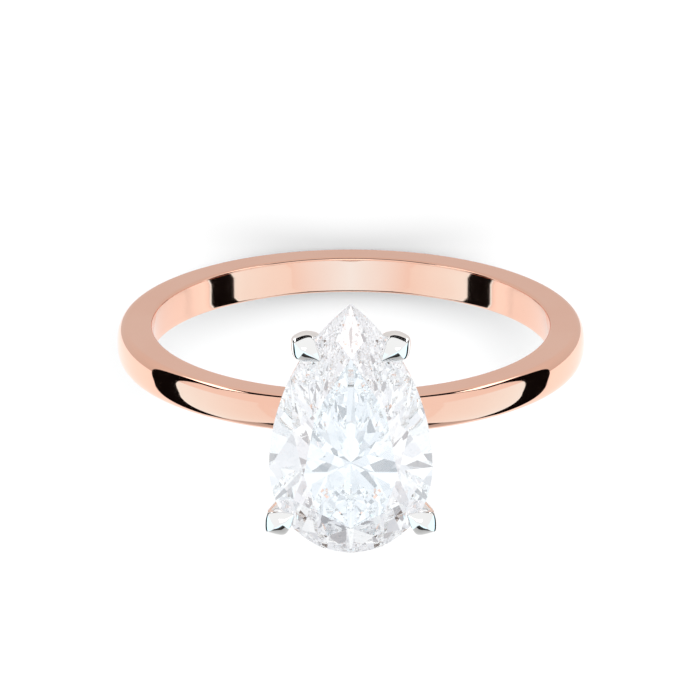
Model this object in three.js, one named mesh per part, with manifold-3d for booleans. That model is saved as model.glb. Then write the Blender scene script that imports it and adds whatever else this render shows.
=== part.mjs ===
// Solitaire engagement ring: a rose gold band, a white gold head of two rails and four claws,
// and a pear-shaped brilliant-cut diamond. Millimetres.
// The origin is the centre of the finger hole. +Z runs up through the stone, the finger lies
// along Y, and the stone's point is towards +Y.
import * as THREE from "three";
import { mergeVertices } from "three/addons/utils/BufferGeometryUtils.js";
import Module from "manifold-3d";

// Band: flat inside, flat sides, low domed outside
const FINGER_DIAMETER = 17.2;
const BAND_WIDTH = 1.6;
const BAND_THICKNESS = 1.5;
const BAND_DOME = 0.45;
const BAND_DOME_POWER = 2.4;
const BAND_INNER_EDGE = 0.12;

// Stone: the widest line crosses it at the culet, with the point on one side and the round end on
// the other. The girdle is the edge between the crown above and the pavilion below.
const STONE_WIDTH = 6.98;
const STONE_POINT_LENGTH = 7.33;
const STONE_ROUND_LENGTH = 3.87;
const CULET_OFFSET = 0.85;
const CULET_ABOVE_BAND = 0.65;
const PAVILION_DEPTH = 2.95;
const GIRDLE_THICKNESS = 0.22;
const CROWN_HEIGHT = 1.0;
const CROWN_INSET = 1.48;
const STAR_SHARE = 0.69;
const LOWER_HALF_SHARE = 0.79;

// Base rail: the small pear-shaped ring that straddles the band
const BASE_HALF_WIDTH = 1.35;
const BASE_POINT_LENGTH = 4.1;
const BASE_ROUND_LENGTH = 1.75;
const BASE_ABOVE_BAND = 0.42;
const BASE_BELOW_CREST = 0.3;

// Gallery rail: the ring that holds the claws apart just under the stone
const GALLERY_INSET = 0.6;
const GALLERY_HEIGHT = 0.65;
const GALLERY_BELOW_GIRDLE = 1.65;

const RAIL_WALL = 0.6;

// Claws: a stem that flares up from the base rail, and a beak that turns over the girdle. From
// above, the beak is a teardrop, round outside the stone and pointed on it. The stand-off is how
// far outside the girdle its middle is, the lean is how much further in the stem is just below,
// and the bend is where the beak starts, as a share of the claw's length.
const STEM_WIDTH = 0.8;
const STEM_THICKNESS = 0.72;
const CLAW_WIDTH = 1.26;
const CLAW_THICKNESS = 1.1;
const CLAW_RISE = 0.2;
const CLAW_LEAN = 0.3;
const CLAW_BEND = 0.85;
const BEAK_LENGTH = 0.88;
const BEAK_ROUNDING = 1.55;
const BEAK_TIP = 0.12;
const RAIL_NOTCH = 0.25;
const POINT_CLAW_STATION = 1.27;
const POINT_CLAW_STAND_OFF = 0.26;
const ROUND_CLAW_STATION = 5.58;
const ROUND_CLAW_STAND_OFF = 0.4;

// Gaps: the stone in its seats, and the solder between the metal pieces
const SEAT_GAP = 0.04;
const SOLDER_GAP = 0.03;

const BAND_SEGMENTS = 96;
const DOME_STEPS = 14;
const CURVE_SEGMENTS = 20;
const CLAW_STEPS = 36;
const CLAW_SIDES = 16;

// Heights and radii that follow from the sizes above
const innerRadius = FINGER_DIAMETER / 2;
const crest = innerRadius + BAND_THICKNESS;
const culetHeight = crest + CULET_ABOVE_BAND;
const girdleBottom = culetHeight + PAVILION_DEPTH;
const girdleTop = girdleBottom + GIRDLE_THICKNESS;
const tableHeight = girdleTop + CROWN_HEIGHT;
const baseTop = crest + BASE_ABOVE_BAND;
const baseBottom = crest - BASE_BELOW_CREST;
const galleryBottom = girdleTop - GALLERY_BELOW_GIRDLE - GALLERY_HEIGHT / 2;

const wasm = await Module();
wasm.setup();

const roseGold = { color: 0xf0b79c, roughness: 0.12, metalness: 1 };
const whiteGold = { color: 0xe6e6e4, roughness: 0.08, metalness: 1 };
const diamond = { color: 0xf4f8ff, roughness: 0, metalness: 0, transparent: true, opacity: 0.6 };

// A closed three.js geometry as a solid that can be cut and joined.
function solid(geometry) {
  const shape = geometry.clone();
  shape.deleteAttribute("normal");
  shape.deleteAttribute("uv");
  const merged = mergeVertices(shape, 1e-5);
  const vertProperties = new Float32Array(merged.attributes.position.array);
  const triVerts = new Uint32Array(merged.index.array);
  return new wasm.Manifold(new wasm.Mesh({ numProp: 3, vertProperties, triVerts }));
}

// A solid as a named mesh of the ring.
function piece(name, body, look) {
  const made = body.getMesh();
  const geometry = new THREE.BufferGeometry();
  geometry.setAttribute("position", new THREE.BufferAttribute(made.vertProperties, 3));
  geometry.setIndex(new THREE.BufferAttribute(made.triVerts, 1));
  geometry.computeVertexNormals();
  const mesh = new THREE.Mesh(geometry, new THREE.MeshStandardMaterial(look));
  mesh.name = name;
  return mesh;
}

// A pear outline. Two equal arcs run from the widest line to the point, and half an ellipse closes
// the round end. Stations 0 to 16 go round it from the point: 4 and 12 are the widest line's ends,
// and 8 is the middle of the round end. A positive inset draws the whole outline inwards.
class Pear {
  constructor(halfWidth, pointLength, roundLength) {
    this.halfWidth = halfWidth;
    this.roundLength = roundLength;
    this.sideRadius = (halfWidth ** 2 + pointLength ** 2) / (2 * halfWidth);
    this.sideCentre = this.sideRadius - halfWidth;
  }

  at(station, inset = 0) {
    const side = station <= 8 ? 1 : -1;
    const step = station <= 8 ? station : 16 - station;
    const radius = this.sideRadius - inset;
    if (step <= 4) {
      const turn = Math.acos(this.sideCentre / radius) * (1 - step / 4);
      const across = radius * Math.cos(turn) - this.sideCentre;
      return new THREE.Vector2(side * across, radius * Math.sin(turn) - CULET_OFFSET);
    }
    const turn = ((step - 4) / 4) * (Math.PI / 2);
    const across = (this.halfWidth - inset) * Math.cos(turn);
    const along = (this.roundLength - inset) * Math.sin(turn);
    return new THREE.Vector2(side * across, -along - CULET_OFFSET);
  }

  outward(station) {
    if (station === 0) return new THREE.Vector2(0, 1);
    const side = station <= 8 ? 1 : -1;
    const step = station <= 8 ? station : 16 - station;
    if (step <= 4) {
      const turn = Math.acos(this.sideCentre / this.sideRadius) * (1 - step / 4);
      return new THREE.Vector2(side * Math.cos(turn), Math.sin(turn));
    }
    const turn = ((step - 4) / 4) * (Math.PI / 2);
    const across = Math.cos(turn) / this.halfWidth;
    const along = Math.sin(turn) / this.roundLength;
    return new THREE.Vector2(side * across, -along).normalize();
  }

  shape(inset = 0) {
    const radius = this.sideRadius - inset;
    const turn = Math.acos(this.sideCentre / radius);
    const outline = new THREE.Shape();
    outline.absarc(-this.sideCentre, -CULET_OFFSET, radius, turn, 0, true);
    outline.absellipse(
      0, -CULET_OFFSET, this.halfWidth - inset, this.roundLength - inset, 0, Math.PI, true,
    );
    outline.absarc(this.sideCentre, -CULET_OFFSET, radius, Math.PI, Math.PI - turn, true);
    return outline;
  }

  prism(inset, bottom, top) {
    const options = { depth: top - bottom, bevelEnabled: false, curveSegments: CURVE_SEGMENTS };
    return solid(new THREE.ExtrudeGeometry(this.shape(inset), options).translate(0, 0, bottom));
  }
}

const stoneOutline = new Pear(STONE_WIDTH / 2, STONE_POINT_LENGTH, STONE_ROUND_LENGTH);
const baseOutline = new Pear(BASE_HALF_WIDTH, BASE_POINT_LENGTH, BASE_ROUND_LENGTH);

const raised = (point, height) => new THREE.Vector3(point.x, point.y, height);

// The band's section as points of radius and place along the finger, closed. Growth adds a gap
// outside it.
function bandSection(growth) {
  const half = BAND_WIDTH / 2 + growth;
  const shoulder = crest + growth - BAND_DOME;
  const section = new THREE.Path();
  section.moveTo(innerRadius, half - BAND_INNER_EDGE);
  section.absarc(
    innerRadius + BAND_INNER_EDGE, half - BAND_INNER_EDGE, BAND_INNER_EDGE, Math.PI, Math.PI / 2, true,
  );
  for (let i = 0; i <= DOME_STEPS; i++) {
    const turn = (i / DOME_STEPS) * Math.PI;
    const bulge = (value) => Math.sign(value) * Math.abs(value) ** (2 / BAND_DOME_POWER);
    section.lineTo(shoulder + BAND_DOME * bulge(Math.sin(turn)), half * bulge(Math.cos(turn)));
  }
  section.absarc(
    innerRadius + BAND_INNER_EDGE, -half + BAND_INNER_EDGE, BAND_INNER_EDGE, -Math.PI / 2, Math.PI, true,
  );
  section.closePath();
  return section.getPoints(2).reverse();
}

function band(growth = 0) {
  return solid(new THREE.LatheGeometry(bandSection(growth), BAND_SEGMENTS));
}

// A facet plane taken off the stone. Three points lie on the plane, and the part of the stone on
// its outer side is cut away. Growth moves the plane outwards, for a stone with a gap round it.
function grind(stone, points, growth) {
  const plane = new THREE.Plane().setFromCoplanarPoints(...points);
  const heart = new THREE.Vector3(0, -CULET_OFFSET, girdleTop);
  const outward = plane.normal.clone().multiplyScalar(-Math.sign(plane.distanceToPoint(heart)));
  const size = STONE_WIDTH + STONE_POINT_LENGTH + STONE_ROUND_LENGTH;
  const waste = new THREE.BoxGeometry(size, size, size).translate(0, 0, size / 2);
  const turn = new THREE.Quaternion().setFromUnitVectors(new THREE.Vector3(0, 0, 1), outward);
  const place = plane.projectPoint(heart, new THREE.Vector3()).addScaledVector(outward, growth);
  return stone.subtract(solid(waste.applyQuaternion(turn).translate(place.x, place.y, place.z)));
}

// Two lines along the girdle at the main facets a and b, moved a share of the way to where those
// facets end, cross here. inner says where the main facet at a station ends.
function crossing(a, b, share, inner) {
  const m = stoneOutline.outward(a);
  const n = stoneOutline.outward(b);
  const p = m.dot(stoneOutline.at(a).lerp(inner(a), share));
  const q = n.dot(stoneOutline.at(b).lerp(inner(b), share));
  const turn = m.cross(n);
  return new THREE.Vector2((p * n.y - q * m.y) / turn, (m.x * q - n.x * p) / turn);
}

// The brilliant cut: eight main facets above and below on the even stations, with pairs of half
// facets between them, and stars round the table.
function brilliant(growth = 0) {
  const culet = new THREE.Vector2(0, -CULET_OFFSET);
  const tableCorner = (station) => stoneOutline.at(station, CROWN_INSET);
  let stone = stoneOutline.prism(-growth, culetHeight - growth, tableHeight + growth);
  for (let main = 0; main < 16; main += 2) {
    const next = (main + 2) % 16;
    const edge = stoneOutline.at(main);
    const outward = stoneOutline.outward(main);
    const beside = new THREE.Vector2(edge.x - outward.y, edge.y + outward.x);
    const middle = stoneOutline.at(main + 1);
    const end = stoneOutline.at(next);
    const star = raised(
      crossing(main, next, STAR_SHARE, tableCorner),
      girdleTop + CROWN_HEIGHT * STAR_SHARE,
    );
    const point = raised(
      crossing(main, next, LOWER_HALF_SHARE, () => culet),
      girdleBottom - PAVILION_DEPTH * LOWER_HALF_SHARE,
    );
    const facets = [
      [raised(tableCorner(main), tableHeight), raised(edge, girdleTop), raised(beside, girdleTop)],
      [raised(tableCorner(main), tableHeight), raised(tableCorner(next), tableHeight), star],
      [raised(edge, girdleTop), raised(middle, girdleTop), star],
      [raised(middle, girdleTop), raised(end, girdleTop), star],
      [raised(culet, culetHeight), raised(edge, girdleBottom), raised(beside, girdleBottom)],
      [raised(edge, girdleBottom), raised(middle, girdleBottom), point],
      [raised(middle, girdleBottom), raised(end, girdleBottom), point],
    ];
    for (const facet of facets) stone = grind(stone, facet, growth);
  }
  return stone;
}

// How wide and thick a claw is at a share of its length, and how far its top is drawn to a ridge.
function clawSection(share) {
  const { lerp, smoothstep } = THREE.MathUtils;
  const flare = smoothstep(share, 0.2, CLAW_BEND);
  const past = (start) => Math.max(0, (share - start) / (1 - start));
  return {
    across: lerp(lerp(STEM_WIDTH, CLAW_WIDTH, flare), BEAK_TIP, past(CLAW_BEND) ** BEAK_ROUNDING) / 2,
    up: lerp(lerp(STEM_THICKNESS, CLAW_THICKNESS, flare), BEAK_TIP, past(CLAW_BEND - 0.07)) / 2,
    ridge: smoothstep(share, CLAW_BEND - 0.11, CLAW_BEND + 0.02),
  };
}

// The line up the middle of a claw, from the base rail to its tip.
function clawLine({ station, standOff }) {
  const outside = STEM_THICKNESS / 2 - RAIL_NOTCH;
  const girdle = stoneOutline.at(station);
  const outward = stoneOutline.outward(station);
  const beside = (distance) => girdle.clone().addScaledVector(outward, distance);
  const reach = BEAK_LENGTH - standOff;
  const crownRise = (CROWN_HEIGHT * reach) / CROWN_INSET;
  return new THREE.CatmullRomCurve3([
    raised(baseOutline.at(station, -outside), baseBottom - STEM_THICKNESS / 2),
    raised(stoneOutline.at(station, GALLERY_INSET - outside), galleryBottom + GALLERY_HEIGHT / 2),
    raised(beside(standOff - CLAW_LEAN), girdleBottom - CLAW_THICKNESS / 3),
    raised(beside(standOff), girdleTop + CLAW_RISE),
    raised(beside(-reach), girdleTop + crownRise + BEAK_TIP / 2 + SEAT_GAP),
  ]);
}

// A claw is a cylinder drawn along its line, with its foot trimmed level with the base rail's.
// Growth makes it thicker all round.
function claw(at, growth = 0) {
  const line = clawLine(at);
  const girdleOutward = stoneOutline.outward(at.station);
  const tangent = new THREE.Vector3(-girdleOutward.y, girdleOutward.x, 0);
  const geometry = new THREE.CylinderGeometry(1, 1, 1, CLAW_SIDES, CLAW_STEPS);
  const places = geometry.attributes.position;
  const place = new THREE.Vector3();
  for (let i = 0; i < places.count; i++) {
    place.fromBufferAttribute(places, i);
    const share = place.y + 0.5;
    const { across, up, ridge } = clawSection(share);
    const forward = line.getTangentAt(share);
    const top = new THREE.Vector3().crossVectors(tangent, forward).normalize();
    const side = new THREE.Vector3().crossVectors(forward, top);
    const roof = Math.hypot(place.x, place.z) - Math.abs(place.x);
    const height = place.z > 0 ? THREE.MathUtils.lerp(place.z, roof, ridge) : place.z;
    const made = line.getPointAt(share).addScaledVector(side, place.x * (across + growth));
    made.addScaledVector(top, height * (up + growth));
    places.setXYZ(i, made.x, made.y, made.z);
  }
  const size = STEM_WIDTH * 10;
  const below = new THREE.BoxGeometry(size, size, size);
  const foot = line.getPointAt(0);
  below.translate(foot.x, foot.y, baseBottom - growth - size / 2);
  return solid(geometry).subtract(solid(below));
}

function rail(outline, inset, bottom, top) {
  const hole = outline.prism(inset + RAIL_WALL, bottom - 1, top + 1);
  return outline.prism(inset, bottom, top).subtract(hole);
}

const clawPlaces = {
  claw_point_right: { station: POINT_CLAW_STATION, standOff: POINT_CLAW_STAND_OFF },
  claw_round_right: { station: ROUND_CLAW_STATION, standOff: ROUND_CLAW_STAND_OFF },
  claw_round_left: { station: 16 - ROUND_CLAW_STATION, standOff: ROUND_CLAW_STAND_OFF },
  claw_point_left: { station: 16 - POINT_CLAW_STATION, standOff: POINT_CLAW_STAND_OFF },
};

const ring = new THREE.Group();
const shank = band();
const seat = brilliant(SEAT_GAP);

// The metal that a rail is filed away for: the band it straddles and the claws it is notched for.
function fitted(part) {
  let made = part.subtract(band(SOLDER_GAP)).subtract(seat);
  for (const at of Object.values(clawPlaces)) made = made.subtract(claw(at, SOLDER_GAP));
  return made;
}

ring.add(piece("shank", shank, roseGold));
ring.add(piece("base_rail", fitted(rail(baseOutline, 0, baseBottom, baseTop)), whiteGold));
ring.add(
  piece(
    "gallery_rail",
    fitted(rail(stoneOutline, GALLERY_INSET, galleryBottom, galleryBottom + GALLERY_HEIGHT)),
    whiteGold,
  ),
);
for (const [name, at] of Object.entries(clawPlaces)) {
  ring.add(piece(name, claw(at).subtract(seat), whiteGold));
}
ring.add(piece("pear_diamond", brilliant(), diamond));

export default ring;
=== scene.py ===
"""Looks of a pear solitaire engagement ring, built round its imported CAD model.

The frame's origin is the centre of the finger hole, +Z runs up through the stone, and the stone's
point is towards +Y. Lengths below are in millimetres, and MM turns them into Blender's metres.
"""
import math

import bmesh
import bpy
from mathutils import Matrix, Vector
from mathutils.geometry import interpolate_bezier


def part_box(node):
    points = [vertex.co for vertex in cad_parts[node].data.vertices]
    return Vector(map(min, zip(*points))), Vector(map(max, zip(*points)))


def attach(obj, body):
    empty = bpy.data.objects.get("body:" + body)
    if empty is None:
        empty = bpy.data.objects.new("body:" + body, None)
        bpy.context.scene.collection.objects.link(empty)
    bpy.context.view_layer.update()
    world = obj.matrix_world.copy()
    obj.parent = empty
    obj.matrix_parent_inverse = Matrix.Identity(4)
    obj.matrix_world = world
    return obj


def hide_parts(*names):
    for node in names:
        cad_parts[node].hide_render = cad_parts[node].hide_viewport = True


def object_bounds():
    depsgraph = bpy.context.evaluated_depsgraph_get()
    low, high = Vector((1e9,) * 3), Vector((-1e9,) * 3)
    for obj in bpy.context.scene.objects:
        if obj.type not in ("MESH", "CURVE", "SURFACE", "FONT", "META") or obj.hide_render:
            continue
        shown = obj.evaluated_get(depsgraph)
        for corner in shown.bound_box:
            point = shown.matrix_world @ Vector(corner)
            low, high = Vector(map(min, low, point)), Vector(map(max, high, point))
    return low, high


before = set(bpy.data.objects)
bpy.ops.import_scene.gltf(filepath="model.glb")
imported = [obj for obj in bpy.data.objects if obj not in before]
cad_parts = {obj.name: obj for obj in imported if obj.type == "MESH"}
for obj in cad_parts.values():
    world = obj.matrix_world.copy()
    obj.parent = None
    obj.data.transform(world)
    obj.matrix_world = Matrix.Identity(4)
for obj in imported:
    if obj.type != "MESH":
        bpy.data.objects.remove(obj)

MM = 0.001
CAD_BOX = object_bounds()

# Band section
BAND_THICKNESS = 1.5
BAND_DOME = 0.45
BAND_DOME_POWER = 2.4
BAND_INNER_EDGE = 0.12

# Stone outline
CULET_OFFSET = 0.85
STONE_ROUND_LENGTH = 3.87
PAVILION_DEPTH = 2.95
GIRDLE_THICKNESS = 0.22
CROWN_HEIGHT = 1.0
CROWN_INSET = 1.48

# Rails
RAIL_WALL = 0.6
GALLERY_INSET = 0.6
BASE_ROUND_LENGTH = 1.75

# Claws
STEM_WIDTH = 0.8
STEM_THICKNESS = 0.72
CLAW_WIDTH = 1.26
CLAW_THICKNESS = 1.1
CLAW_RISE = 0.2
CLAW_LEAN = 0.3
CLAW_BEND = 0.85
BEAK_LENGTH = 0.88
BEAK_ROUNDING = 1.55
BEAK_TIP = 0.12
RAIL_NOTCH = 0.25
SEAT_GAP = 0.02
KEEL_ROUND = 0.14
KEEL_SHARE = 0.62
KEEL_LIFT = 1.4
CLAWS = {
    "claw_point_right": (1.27, 0.26),
    "claw_round_right": (5.58, 0.4),
    "claw_round_left": (10.42, 0.4),
    "claw_point_left": (14.73, 0.26),
}

# The photograph's view: how far the camera stands above the band's plane, on the side of the
# stone's point, and the framing of the ring's centre
VIEW_ELEVATION = math.radians(19.4)
CAMERA_DISTANCE = 1000
VIEW_WIDTH = 30.28
AIM_RIGHT = -0.035
AIM_UP = -0.402


def box_mm(node):
    low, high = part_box(node)
    return Vector(low) / MM, Vector(high) / MM


# ---------------------------------------------------------------- materials


def new_material(name):
    material = bpy.data.materials.new(name)
    material.use_nodes = True
    nodes = material.node_tree.nodes
    return material, nodes, material.node_tree.links, nodes["Principled BSDF"]


def noise(nodes, links, scale, detail, stretch=(1, 1, 1)):
    """Noise in the object's own coordinates, as a value from 0 to 1."""
    place = nodes.new("ShaderNodeTexCoord")
    mapping = nodes.new("ShaderNodeMapping")
    mapping.inputs["Scale"].default_value = stretch
    texture = nodes.new("ShaderNodeTexNoise")
    texture.inputs["Scale"].default_value = scale
    texture.inputs["Detail"].default_value = detail
    links.new(place.outputs["Object"], mapping.inputs["Vector"])
    links.new(mapping.outputs["Vector"], texture.inputs["Vector"])
    return texture.outputs["Fac"]


def spread(nodes, links, value, low, high):
    """The value from 0 to 1 spread between low and high."""
    ramp = nodes.new("ShaderNodeMapRange")
    ramp.inputs["From Min"].default_value = 0.3
    ramp.inputs["From Max"].default_value = 0.7
    ramp.inputs["To Min"].default_value = low
    ramp.inputs["To Max"].default_value = high
    links.new(value, ramp.inputs["Value"])
    return ramp.outputs["Result"]


def blend_colours(nodes, links, value, first, second):
    ramp = nodes.new("ShaderNodeValToRGB")
    ramp.color_ramp.elements[0].position = 0.35
    ramp.color_ramp.elements[0].color = (*first, 1)
    ramp.color_ramp.elements[1].position = 0.65
    ramp.color_ramp.elements[1].color = (*second, 1)
    links.new(value, ramp.inputs["Fac"])
    return ramp.outputs["Color"]


def polished_gold(name, first, second, roughness):
    """Mirror-polished gold: a faint cloudiness in colour and gloss, and fine buffing marks."""
    material, nodes, links, shader = new_material(name)
    cloud = noise(nodes, links, 260, 3)
    links.new(blend_colours(nodes, links, cloud, first, second), shader.inputs["Base Color"])
    haze = noise(nodes, links, 900, 2)
    links.new(spread(nodes, links, haze, *roughness), shader.inputs["Roughness"])
    buffing = noise(nodes, links, 1500, 2, (1, 9, 1))
    bump = nodes.new("ShaderNodeBump")
    bump.inputs["Strength"].default_value = 0.012
    bump.inputs["Distance"].default_value = 0.00001
    links.new(buffing, bump.inputs["Height"])
    links.new(bump.outputs["Normal"], shader.inputs["Normal"])
    shader.inputs["Metallic"].default_value = 1.0
    return material


def cut_diamond():
    """Colourless diamond: high refraction, with the faintest cloud of cool and warm white."""
    material, nodes, links, shader = new_material("diamond")
    cloud = noise(nodes, links, 500, 2)
    tints = blend_colours(nodes, links, cloud, (0.997, 0.998, 1.0), (1.0, 0.999, 0.998))
    links.new(tints, shader.inputs["Base Color"])
    shader.inputs["Roughness"].default_value = 0.0
    shader.inputs["IOR"].default_value = 2.417
    shader.inputs["Specular Tint"].default_value = (1.0, 0.84, 0.77, 1)
    shader.inputs["Transmission Weight"].default_value = 1.0
    return material


ROSE_GOLD = polished_gold("rose_gold", (0.905, 0.545, 0.415), (0.920, 0.575, 0.445), (0.035, 0.07))
WHITE_GOLD = polished_gold("white_gold", (0.86, 0.86, 0.855), (0.90, 0.90, 0.895), (0.03, 0.06))
DIAMOND = cut_diamond()


# ---------------------------------------------------------------- mesh helpers


def make_piece(name, vertices, faces, material, nodes, sharp=30):
    """A smooth-shaded mesh in millimetres as a piece that stands for CAD nodes."""
    mesh = bpy.data.meshes.new(name)
    mesh.from_pydata([Vector(v) * MM for v in vertices], [], faces)
    mesh.validate()
    outward = bmesh.new()
    outward.from_mesh(mesh)
    bmesh.ops.recalc_face_normals(outward, faces=outward.faces)
    outward.to_mesh(mesh)
    outward.free()
    mesh.shade_smooth()
    mesh.set_sharp_from_angle(angle=math.radians(sharp))
    mesh.materials.append(material)
    piece = bpy.data.objects.new(name, mesh)
    bpy.context.collection.objects.link(piece)
    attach(piece, "root")
    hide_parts(*nodes)
    return piece


def skin(rings, closed):
    """Quads between rings of equal length. A closed skin joins the last ring to the first."""
    count = len(rings[0])
    vertices = [v for ring in rings for v in ring]
    faces = []
    for i in range(len(rings) - (0 if closed else 1)):
        near, far = i * count, (i + 1) % len(rings) * count
        for k in range(count):
            after = (k + 1) % count
            faces.append((near + k, near + after, far + after, far + k))
    if not closed:
        faces.append(tuple(range(count))[::-1])
        faces.append(tuple(len(vertices) - count + k for k in range(count)))
    return vertices, faces


class Pear:
    """A pear outline: two equal arcs to the point, and half an ellipse round the other end.

    Stations 0 to 16 go round it from the point, as in the CAD: 4 and 12 are the widest line's
    ends and 8 is the middle of the round end. An inset draws the outline inwards.
    """

    def __init__(self, node, round_length):
        low, high = box_mm(node)
        half_width = (high.x - low.x) / 2
        point_length = high.y + CULET_OFFSET
        self.half_width = half_width
        self.round_length = round_length
        self.side_radius = (half_width**2 + point_length**2) / (2 * half_width)
        self.side_centre = self.side_radius - self.half_width

    def folded(self, station):
        station %= 16
        return (1, station) if station <= 8 else (-1, 16 - station)

    def at(self, station, inset=0):
        side, step = self.folded(station)
        radius = self.side_radius - inset
        if step <= 4:
            turn = math.acos(self.side_centre / radius) * (1 - step / 4)
            across = radius * math.cos(turn) - self.side_centre
            return Vector((side * across, radius * math.sin(turn) - CULET_OFFSET, 0))
        turn = (step - 4) / 4 * math.pi / 2
        across = (self.half_width - inset) * math.cos(turn)
        along = (self.round_length - inset) * math.sin(turn)
        return Vector((side * across, -along - CULET_OFFSET, 0))

    def outward(self, station):
        side, step = self.folded(station)
        if step == 0:
            return Vector((0, 1, 0))
        if step <= 4:
            turn = math.acos(self.side_centre / self.side_radius) * (1 - step / 4)
            return Vector((side * math.cos(turn), math.sin(turn), 0))
        turn = (step - 4) / 4 * math.pi / 2
        across = math.cos(turn) / self.half_width
        along = math.sin(turn) / self.round_length
        return Vector((side * across, -along, 0)).normalized()


STONE = Pear("pear_diamond", STONE_ROUND_LENGTH)
BASE = Pear("base_rail", BASE_ROUND_LENGTH)
GIRDLE_BOTTOM = box_mm("pear_diamond")[0].z + PAVILION_DEPTH
GIRDLE_TOP = GIRDLE_BOTTOM + GIRDLE_THICKNESS


# ---------------------------------------------------------------- band


def band_section(crest, half):
    """The band's section as (radius, place along the finger), anticlockwise from inside."""
    inner = crest - BAND_THICKNESS
    shoulder = crest - BAND_DOME
    edge = BAND_INNER_EDGE
    section = []
    for i in range(7):
        turn = math.pi + i / 6 * math.pi / 2
        section.append((inner + edge + edge * math.cos(turn), edge - half + edge * math.sin(turn)))
    for i in range(1, 8):
        section.append((inner + edge + (shoulder - inner - edge) * i / 8, -half))
    steps = 72
    for i in range(steps + 1):
        turn = i / steps * math.pi
        bulge = BAND_DOME * math.sin(turn) ** (2 / BAND_DOME_POWER)
        side = abs(math.cos(turn)) ** (2 / BAND_DOME_POWER)
        section.append((shoulder + bulge, -math.copysign(side, math.cos(turn)) * half))
    mirrored = [(radius, -place) for radius, place in reversed(section[:14])]
    section += mirrored
    for i in range(1, 6):
        section.append((inner, (half - edge) * (1 - i / 3)))
    return section


def shank():
    high = box_mm("shank")[1]
    section = band_section(high.x, high.y)
    turns = 360
    rings = []
    for i in range(turns):
        turn = i / turns * math.tau
        rings.append([(r * math.cos(turn), y, r * math.sin(turn)) for r, y in section])
    vertices, faces = skin(rings, closed=True)
    return make_piece("band", vertices, faces, ROSE_GOLD, ["shank"], sharp=60)


# ---------------------------------------------------------------- head


def rail(name, node, outline, inset, edge):
    """A pear-shaped rail with rounded edges, between its CAD node's top and bottom."""
    low, high = box_mm(node)
    corners = []
    for across, height, start in (
        (inset + edge, high.z - edge, 90),
        (inset + RAIL_WALL - edge, high.z - edge, 0),
        (inset + RAIL_WALL - edge, low.z + edge, 270),
        (inset + edge, low.z + edge, 180),
    ):
        for i in range(7):
            turn = math.radians(start + 90 - i * 15)
            corners.append((across + edge * math.cos(turn), height + edge * math.sin(turn)))
    stations = 288
    rings = []
    for i in range(stations):
        station = i / stations * 16
        rings.append([outline.at(station, across) + Vector((0, 0, z)) for across, z in corners])
    vertices, faces = skin(rings, closed=True)
    return make_piece(name, vertices, faces, WHITE_GOLD, [node])


def raised(place, height):
    return Vector((place.x, place.y, height))


def claw_line(station, stand_off):
    """Points up the middle of a claw, from under the base rail to its tip."""
    outside = STEM_THICKNESS / 2 - RAIL_NOTCH
    girdle, outward = STONE.at(station), STONE.outward(station)
    foot = box_mm("base_rail")[0].z
    gallery_low, gallery_high = box_mm("gallery_rail")
    reach = BEAK_LENGTH - stand_off
    crown_rise = CROWN_HEIGHT * reach / CROWN_INSET
    return [
        raised(BASE.at(station, -outside), foot - STEM_THICKNESS / 2),
        raised(STONE.at(station, GALLERY_INSET - outside), (gallery_low.z + gallery_high.z) / 2),
        raised(girdle + outward * (stand_off - CLAW_LEAN), GIRDLE_BOTTOM - CLAW_THICKNESS / 3),
        raised(girdle + outward * stand_off, GIRDLE_TOP + CLAW_RISE),
        raised(girdle - outward * reach, GIRDLE_TOP + crown_rise + BEAK_TIP / 2 + 0.04),
    ]


def smooth_line(points, count):
    """A smooth line through the points, at even steps of length, as (place, direction) pairs."""
    spaced = [points[0] * 2 - points[1], *points, points[-1] * 2 - points[-2]]
    dense = []
    for before, start, end, after in zip(spaced, spaced[1:], spaced[2:], spaced[3:]):
        reach = (end - start).length
        lead = (end - before).normalized() * reach / 3
        trail = (after - start).normalized() * reach / 3
        dense += interpolate_bezier(start, start + lead, end - trail, end, 60)[:-1]
    dense.append(points[-1])
    lengths = [0]
    for a, b in zip(dense, dense[1:]):
        lengths.append(lengths[-1] + (b - a).length)
    line = []
    k = 0
    for i in range(count + 1):
        wanted = lengths[-1] * i / count
        while k < len(dense) - 2 and lengths[k + 1] < wanted:
            k += 1
        part = (wanted - lengths[k]) / (lengths[k + 1] - lengths[k])
        line.append((dense[k].lerp(dense[k + 1], part), (dense[k + 1] - dense[k]).normalized()))
    return line


def step_between(value, low, high):
    part = min(1, max(0, (value - low) / (high - low)))
    return part * part * (3 - 2 * part)


def part_past(share, start):
    return max(0, (share - start) / (1 - start))


def claw_section(share):
    """Half the claw's width and thickness, and how far its top is drawn to a ridge."""
    flare = step_between(share, 0.2, CLAW_BEND)
    width = STEM_WIDTH + (CLAW_WIDTH - STEM_WIDTH) * flare
    thickness = STEM_THICKNESS + (CLAW_THICKNESS - STEM_THICKNESS) * flare
    return (
        (width + (BEAK_TIP - width) * part_past(share, CLAW_BEND) ** BEAK_ROUNDING) / 2,
        (thickness + (BEAK_TIP - thickness) * part_past(share, CLAW_BEND - 0.07)) / 2,
        step_between(share, CLAW_BEND - 0.11, CLAW_BEND + 0.02),
    )


def claw_corner(turn, ridge):
    """A point of the claw's section of size 1: an ellipse whose top half is drawn to a keel."""
    if math.sin(turn) <= 0:
        return math.cos(turn), math.sin(turn)
    x = math.copysign(abs(math.cos(turn)) ** 1.6, math.cos(turn))
    ellipse = math.sqrt(1 - x * x)
    keel = 1 + KEEL_ROUND - math.sqrt(x * x * (1 + 2 * KEEL_ROUND) + KEEL_ROUND**2)
    arch = ellipse + (keel - ellipse) * KEEL_SHARE * ridge
    return x, arch * (1 + (KEEL_LIFT - 1) * ridge)


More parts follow.
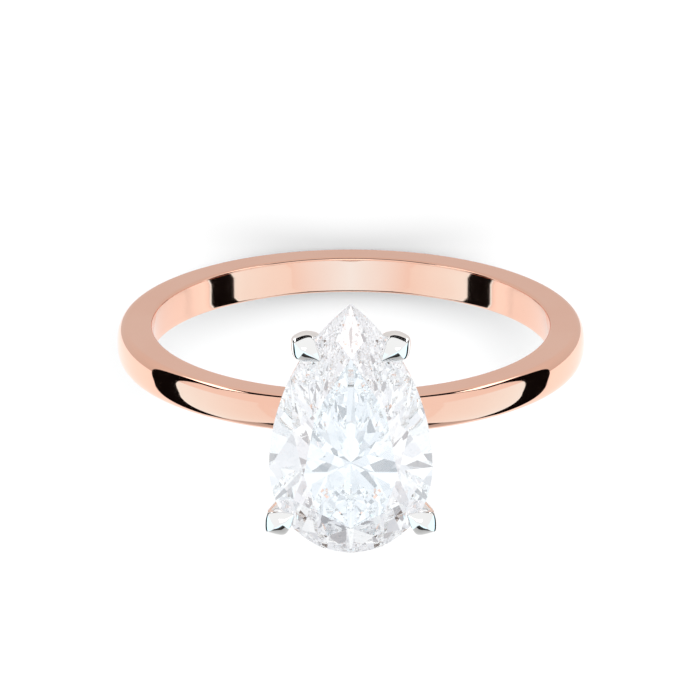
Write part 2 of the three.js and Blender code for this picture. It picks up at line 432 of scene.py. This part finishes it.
def seat_cutter():
    """The stone a little larger all round, as the shape of the seats cut in the claws."""
    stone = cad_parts["pear_diamond"]
    mesh = stone.data.copy()
    mesh.transform(stone.matrix_world)
    heart = Vector((0, -CULET_OFFSET, GIRDLE_TOP)) * MM
    growth = 1 + SEAT_GAP / STONE.half_width
    mesh.transform(Matrix.Translation(heart) @ Matrix.Scale(growth, 4) @ Matrix.Translation(-heart))
    cutter = bpy.data.objects.new("seat_cutter", mesh)
    bpy.context.collection.objects.link(cutter)
    return cutter


def cut_seat(vertices, faces, cutter):
    """The vertices and faces of a closed skin, in millimetres, after the stone's seat is cut."""
    mesh = bpy.data.meshes.new("uncut")
    mesh.from_pydata([Vector(v) * MM for v in vertices], [], faces)
    body = bpy.data.objects.new("uncut", mesh)
    bpy.context.collection.objects.link(body)
    cut = body.modifiers.new("seat", "BOOLEAN")
    cut.operation = "DIFFERENCE"
    cut.solver = "EXACT"
    cut.object = cutter
    made = body.evaluated_get(bpy.context.evaluated_depsgraph_get()).to_mesh()
    cut_vertices = [vertex.co / MM for vertex in made.vertices]
    cut_faces = [tuple(face.vertices) for face in made.polygons]
    bpy.data.objects.remove(body)
    return cut_vertices, cut_faces


def claw(name, station, stand_off, cutter):
    steps, sides = 150, 72
    across_girdle = STONE.outward(station)
    tangent = Vector((-across_girdle.y, across_girdle.x, 0))
    foot = box_mm("base_rail")[0].z
    rings = []
    for i, (middle, forward) in enumerate(smooth_line(claw_line(station, stand_off), steps)):
        width, height, ridge = claw_section(i / steps)
        top = tangent.cross(forward).normalized()
        side = forward.cross(top)
        ring = []
        for k in range(sides):
            turn = k / sides * math.tau
            x, z = claw_corner(turn, ridge)
            place = middle + side * x * width + top * z * height
            place.z = max(place.z, foot)
            ring.append(place)
        rings.append(ring)
    vertices, faces = cut_seat(*skin(rings, closed=False), cutter)
    return make_piece(name + "_beak", vertices, faces, WHITE_GOLD, [name], sharp=38)


# ---------------------------------------------------------------- stage


def glow(name, low, high=None, axis="Z"):
    """Plain light that runs from one colour to another along an axis of the card's own box."""
    material = bpy.data.materials.new(name)
    material.use_nodes = True
    nodes, links = material.node_tree.nodes, material.node_tree.links
    nodes.clear()
    place = nodes.new("ShaderNodeTexCoord")
    split = nodes.new("ShaderNodeSeparateXYZ")
    mix = nodes.new("ShaderNodeMix")
    mix.data_type = "RGBA"
    mix.inputs["A"].default_value = (*low, 1)
    mix.inputs["B"].default_value = (*(high or low), 1)
    light = nodes.new("ShaderNodeEmission")
    out = nodes.new("ShaderNodeOutputMaterial")
    links.new(place.outputs["Generated"], split.inputs["Vector"])
    links.new(split.outputs[axis], mix.inputs["Factor"])
    links.new(mix.outputs["Result"], light.inputs["Color"])
    links.new(light.outputs["Emission"], out.inputs["Surface"])
    return material


def card(name, vertices, faces, material):
    """A card that is seen in the polished surfaces only."""
    mesh = bpy.data.meshes.new(name)
    mesh.from_pydata([Vector(v) * MM for v in vertices], [], faces)
    mesh.materials.append(material)
    made = bpy.data.objects.new(name, mesh)
    made.visible_camera = False
    made.visible_shadow = False
    made.visible_diffuse = False
    made.visible_transmission = False
    bpy.context.collection.objects.link(made)
    return made


def sky_card(name, radius, turns, rises, material):
    """A card bent round the ring. Turns are degrees from -Y towards +X, rises are degrees up."""
    steps = 24
    row = steps + 1
    vertices = []
    for i in range(steps + 1):
        turn = math.radians(turns[0] + (turns[1] - turns[0]) * i / steps)
        for k in range(steps + 1):
            rise = math.radians(rises[0] + (rises[1] - rises[0]) * k / steps)
            flat = radius * math.cos(rise)
            vertices.append((flat * math.sin(turn), -flat * math.cos(turn), radius * math.sin(rise) + 6))
    faces = [
        (i * row + k, (i + 1) * row + k, (i + 1) * row + k + 1, i * row + k + 1)
        for i in range(steps)
        for k in range(steps)
    ]
    return card(name, vertices, faces, material)


def floor(height):
    mesh = bpy.data.meshes.new("floor")
    reach = 6.0
    mesh.from_pydata(
        [(-reach, -reach, height), (reach, -reach, height), (reach, reach, height), (-reach, reach, height)],
        [],
        [(0, 1, 2, 3)],
    )
    material, _, _, shader = new_material("floor")
    shader.inputs["Base Color"].default_value = (0.95, 0.95, 0.95, 1)
    shader.inputs["Roughness"].default_value = 0.6
    shader.inputs["Specular IOR Level"].default_value = 0.2
    mesh.materials.append(material)
    made = bpy.data.objects.new("floor", mesh)
    made.visible_transmission = False
    bpy.context.collection.objects.link(made)


def upright_card(name, radius, low, high, gap, material):
    """A card that stands round the ring, open for gap degrees on each side of -Y."""
    count = 96
    turns = [math.radians(gap + (360 - 2 * gap) * i / count) for i in range(count + 1)]
    vertices = [
        (radius * math.sin(turn), -radius * math.cos(turn), z) for z in (low, high) for turn in turns
    ]
    faces = [(i, i + 1, count + i + 2, count + i + 1) for i in range(count)]
    card(name, vertices, faces, material)


def studio_cards():
    white, pale, black = (1, 1, 1), (1.02, 1.1, 1.13), (0.004, 0.003, 0.003)
    cream, bright = (1.05, 1.43, 1.6), (1.02, 1.42, 1.66)
    upright_card("horizon_card", 35, -5.6, 5.1, 38, glow("horizon_card", black))
    upright_card("back_card", 36, 5, 11, 126, glow("back_card", black))
    sky_card("far_card", 55, (-38, 38), (20, 46), glow("far_card", black, (0.12, 0.12, 0.12)))
    sky_card("low_card", 55, (-38, 38), (-16, 20), glow("low_card", (0.75, 0.75, 0.75), (0.5, 0.5, 0.5)))
    for side in (-1, 1):
        sky_card("softbox", 60, (38 * side, 100 * side), (-12, 44), glow("softbox", cream, pale))
        sky_card("spot", 33, (135 * side, 147 * side), (-25, 3), glow("spot", (2.5, 2.5, 2.5)))
        vertices = [(0, -50, 60), (46 * side, -50, 60), (46 * side, -6, 60), (0, -6, 60)]
        ends = (bright, white) if side > 0 else (white, bright)
        card("top_softbox", vertices, [(0, 1, 2, 3)], glow("top_softbox", *ends, "X"))
    sky_card("gleam", 50, (157, 203), (50, 62), glow("gleam", (2.5, 2.5, 2.5)))
    # A card just above the floor, seen in the polished surfaces in place of the floor on the +Y side. It is
    # painted shade: greyer and darker near the ring, standing in for the ring's shadow on the floor.
    low = CAD_BOX[0][2] / MM + 0.05
    vertices = [(-60, 0, low), (60, 0, low), (60, 60, low), (-60, 60, low)]
    light = glow("painted_floor_shade", (0.72, 0.68, 0.66), (1, 0.95, 0.92), "Y")
    card("painted_floor_shade", vertices, [(0, 1, 2, 3)], light)
    facet_dome()


def facet_dome():
    """What the stone's facets pick up: a bright sky broken into pale and grey patches."""
    mesh = bpy.data.meshes.new("facet_dome")
    shape = bmesh.new()
    bmesh.ops.create_icosphere(shape, subdivisions=5, radius=0.07)
    shape.to_mesh(mesh)
    shape.free()
    material = bpy.data.materials.new("facet_sky")
    material.use_nodes = True
    nodes, links = material.node_tree.nodes, material.node_tree.links
    nodes.clear()
    place = nodes.new("ShaderNodeTexCoord")
    cells = nodes.new("ShaderNodeTexVoronoi")
    cells.inputs["Scale"].default_value = 125
    split = nodes.new("ShaderNodeSeparateColor")
    strength = nodes.new("ShaderNodeValToRGB")
    stops = strength.color_ramp
    stops.interpolation = "CONSTANT"
    stops.elements[0].position, stops.elements[0].color = 0, (0.40, 0.41, 0.44, 1)
    stops.elements[1].position, stops.elements[1].color = 0.1, (0.68, 0.69, 0.73, 1)
    for position, colour in (
        (0.22, (0.84, 0.85, 0.89)),
        (0.42, (0.90, 0.90, 0.94)),
        (0.64, (1.02, 1.02, 1.03)),
        (0.88, (1.15, 1.15, 1.15)),
    ):
        stops.elements.new(position).color = (*colour, 1)
    light = nodes.new("ShaderNodeEmission")
    out = nodes.new("ShaderNodeOutputMaterial")
    links.new(place.outputs["Object"], cells.inputs["Vector"])
    links.new(cells.outputs["Color"], split.inputs["Color"])
    links.new(split.outputs["Red"], strength.inputs["Fac"])
    links.new(strength.outputs["Color"], light.inputs["Color"])
    links.new(light.outputs["Emission"], out.inputs["Surface"])
    mesh.materials.append(material)
    made = bpy.data.objects.new("facet_dome", mesh)
    made.visible_camera = False
    made.visible_shadow = False
    made.visible_diffuse = False
    made.visible_glossy = False
    bpy.context.collection.objects.link(made)


def lights():
    world = bpy.data.worlds.new("studio")
    bpy.context.scene.world = world
    world.use_nodes = True
    background = world.node_tree.nodes["Background"]
    background.inputs["Color"].default_value = (1, 1, 1, 1)
    background.inputs["Strength"].default_value = 1.0
    key = bpy.data.lights.new("key", "AREA")
    key.shape = "DISK"
    key.size = 0.12
    key.energy = 0.16
    made = bpy.data.objects.new("key", key)
    made.location = (0.02, 0.105, 0.17)
    made.rotation_mode = "QUATERNION"
    made.rotation_quaternion = Vector(made.location).to_track_quat("Z", "Y")
    made.visible_camera = False
    made.visible_glossy = False
    bpy.context.collection.objects.link(made)


def camera():
    data = bpy.data.cameras.new("camera")
    data.sensor_width = 36
    data.lens = data.sensor_width * CAMERA_DISTANCE / VIEW_WIDTH
    data.clip_start, data.clip_end = 0.01, 50
    made = bpy.data.objects.new("camera", data)
    bpy.context.collection.objects.link(made)
    back = Vector((0, math.sin(VIEW_ELEVATION), math.cos(VIEW_ELEVATION)))
    up = Vector((0, math.cos(VIEW_ELEVATION), -math.sin(VIEW_ELEVATION)))
    right = up.cross(back)
    place = (back * CAMERA_DISTANCE + right * AIM_RIGHT + up * AIM_UP) * MM
    turned = Matrix((right, up, back)).transposed()
    made.matrix_world = Matrix.Translation(place) @ turned.to_4x4()
    bpy.context.scene.camera = made


def render_settings():
    scene = bpy.context.scene
    scene.view_settings.view_transform = "Standard"
    scene.cycles.max_bounces = 64
    scene.cycles.transmission_bounces = 64
    scene.cycles.glossy_bounces = 64
    scene.cycles.caustics_reflective = False
    scene.cycles.caustics_refractive = False


camera()
shank()
rail("base_ring", "base_rail", BASE, 0, 0.14)
rail("gallery_ring", "gallery_rail", STONE, GALLERY_INSET, 0.16)
stone_cutter = seat_cutter()
for claw_name, (claw_station, claw_stand_off) in CLAWS.items():
    claw(claw_name, claw_station, claw_stand_off, stone_cutter)
bpy.data.objects.remove(stone_cutter)
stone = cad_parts["pear_diamond"]
stone.data.materials.clear()
stone.data.materials.append(DIAMOND)

floor(CAD_BOX[0][2])
studio_cards()
lights()
render_settings()
